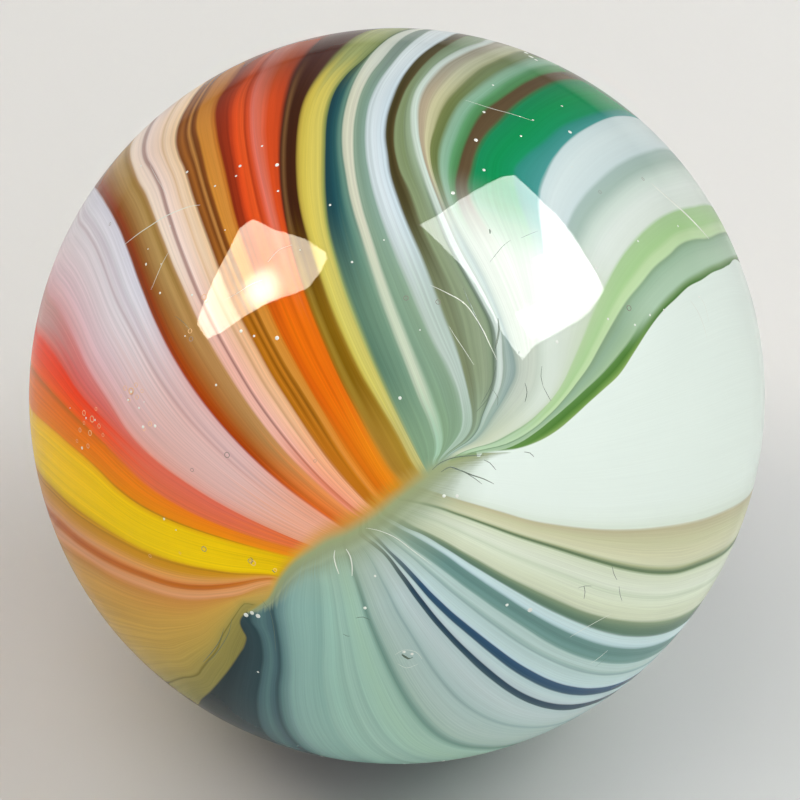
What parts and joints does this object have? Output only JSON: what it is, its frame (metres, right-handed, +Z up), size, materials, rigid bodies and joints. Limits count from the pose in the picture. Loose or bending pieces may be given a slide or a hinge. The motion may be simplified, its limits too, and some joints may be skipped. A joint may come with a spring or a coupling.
{
  "type": "glass marble",
  "caption": "Solid round glass marble with folded ribbons of coloured glass that fan out from a seam, with a few small chips in its surface.",
  "frame": {"origin": "centre of the ball", "axes": "+Z up as the ball lies in the picture; the seam of the swirl faces -Y, towards the viewer"},
  "size_m": [0.016, 0.016, 0.016],
  "materials": {
    "swirl_glass": "polished, opaque to slightly clear, ribbons of white, amber, orange, red, green and blue"
  },
  "bodies": {
    "root": {"marble": "swirl_glass"}
  },
  "joints": []
}
